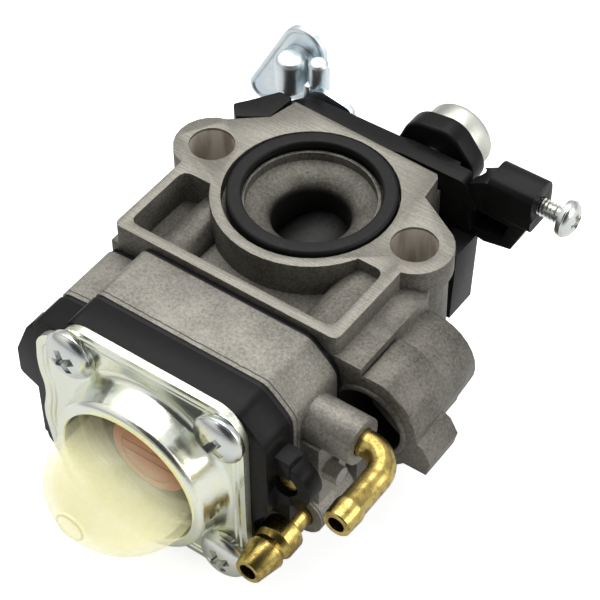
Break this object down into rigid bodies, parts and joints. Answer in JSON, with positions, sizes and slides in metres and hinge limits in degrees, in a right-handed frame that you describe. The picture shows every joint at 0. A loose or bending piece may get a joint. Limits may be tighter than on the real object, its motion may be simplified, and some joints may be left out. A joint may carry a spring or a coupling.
{
  "type": "carburetor",
  "caption": "Small rotary-barrel diaphragm carburetor with a machined flange, clear primer bulb, two fuel nipples, throttle lever and cable adjuster.",
  "frame": {"origin": "centre of the throat on the machined flange face that the O-ring sits in", "axes": "+Z is the throat axis and points out of the flange, +Y is the throttle barrel's axis and points to the lever, -Y points to the primer bulb"},
  "size_m": [0.0556, 0.0736, 0.0362],
  "materials": {
    "die_cast_aluminium": "warm grey die casting with finely milled faces",
    "die_cast_block": "matt grey die casting",
    "black_rubber": "satin black rubber",
    "diaphragm_film": "thin dark film",
    "black_plastic": "satin moulded black plastic",
    "zinc_plate": "bright zinc plating with a faint yellow tint",
    "plated_steel": "bright plated steel",
    "brass": "bare turned brass",
    "bulb_plastic": "translucent pale yellow moulding",
    "valve_rubber": "salmon red rubber"
  },
  "bodies": {
    "carburetor": {"carburetor_body": "die_cast_aluminium", "flange_o_ring": "black_rubber", "fuel_nozzle": "brass", "pump_gasket": "black_rubber", "pump_diaphragm": "diaphragm_film", "metering_block": "die_cast_block", "inlet_screen": "plated_steel", "metering_gasket": "black_rubber", "metering_diaphragm": "diaphragm_film", "primer_base": "black_plastic", "primer_check_valve": "valve_rubber", "brass_plug": "brass", "retainer_plate": "zinc_plate", "plate_screw_a": "plated_steel", "plate_screw_b": "plated_steel", "plate_screw_c": "plated_steel", "plate_screw_d": "plated_steel", "straight_nipple": "brass", "elbow_nipple": "brass", "barrel_cover": "plated_steel", "throttle_spring": "plated_steel", "cable_bracket": "black_plastic", "bracket_screw_a": "plated_steel", "bracket_screw_b": "plated_steel", "lever_pin": "plated_steel", "lever_spring": "plated_steel"},
    "throttle": {"throttle_barrel": "die_cast_aluminium", "throttle_lever": "zinc_plate", "lever_nut": "plated_steel"},
    "swivel": {"cable_swivel": "plated_steel", "swivel_clip": "plated_steel"},
    "needle": {"barrel_needle": "brass"},
    "idle_screw": {"idle_speed_screw": "plated_steel"},
    "adjuster": {"cable_adjuster": "plated_steel"},
    "collar": {"adjuster_collar": "black_plastic"},
    "metering_arm": {"metering_lever": "plated_steel"},
    "inlet": {"inlet_needle": "brass"},
    "bulb": {"primer_bulb": "bulb_plastic"}
  },
  "joints": [
    {"name": "throttle_turn", "type": "hinge", "parent": "carburetor", "child": "throttle", "pos_m": [0, 0.0166, -0.0158], "axis": [0, -1, 0], "range_deg": [0, 70], "stiffness_Nm_per_rad": 0.01, "springref_deg": -22.92, "deforming": ["throttle_spring"]},
    {"name": "swivel_turn", "type": "hinge", "parent": "throttle", "child": "swivel", "pos_m": [-0.0163, 0.0207, -0.0014], "axis": [0, 1, 0], "range_deg": [-20, 20]},
    {"name": "needle_lift", "type": "slide", "parent": "throttle", "child": "needle", "axis": [0, 1, 0], "range_m": [0, 0.0015]},
    {"name": "idle_turn", "type": "hinge", "parent": "carburetor", "child": "idle_screw", "pos_m": [0.026, 0.016, -0.0016], "axis": [1, 0, 0], "continuous": true},
    {"name": "adjuster_turn", "type": "hinge", "parent": "carburetor", "child": "adjuster", "pos_m": [0.0074, 0.018, -0.0036], "axis": [0, 1, 0], "continuous": true},
    {"name": "collar_turn", "type": "hinge", "parent": "carburetor", "child": "collar", "pos_m": [0.0074, 0.018, -0.0036], "axis": [0, 1, 0], "continuous": true},
    {"name": "metering_lever_pivot", "type": "hinge", "parent": "carburetor", "child": "metering_arm", "pos_m": [-0.0017, -0.02625, -0.0158], "axis": [0, 0, 1], "range_deg": [0, 6], "deforming": ["lever_spring"]},
    {"name": "inlet_needle_slide", "type": "slide", "parent": "carburetor", "child": "inlet", "axis": [0, -1, 0], "range_m": [0, 0.00027]},
    {"name": "bulb_press", "type": "slide", "parent": "carburetor", "child": "bulb", "axis": [0, 1, 0], "range_m": [0, 0.004], "stiffness_N_per_m": 80, "deforming": ["primer_bulb"]}
  ],
  "couplings": [
    {"joint": "needle_lift", "follows": "throttle_turn", "m_per_rad": 0.0012},
    {"joint": "metering_lever_pivot", "follows": "inlet_needle_slide", "rad_per_m": 384.6}
  ]
}
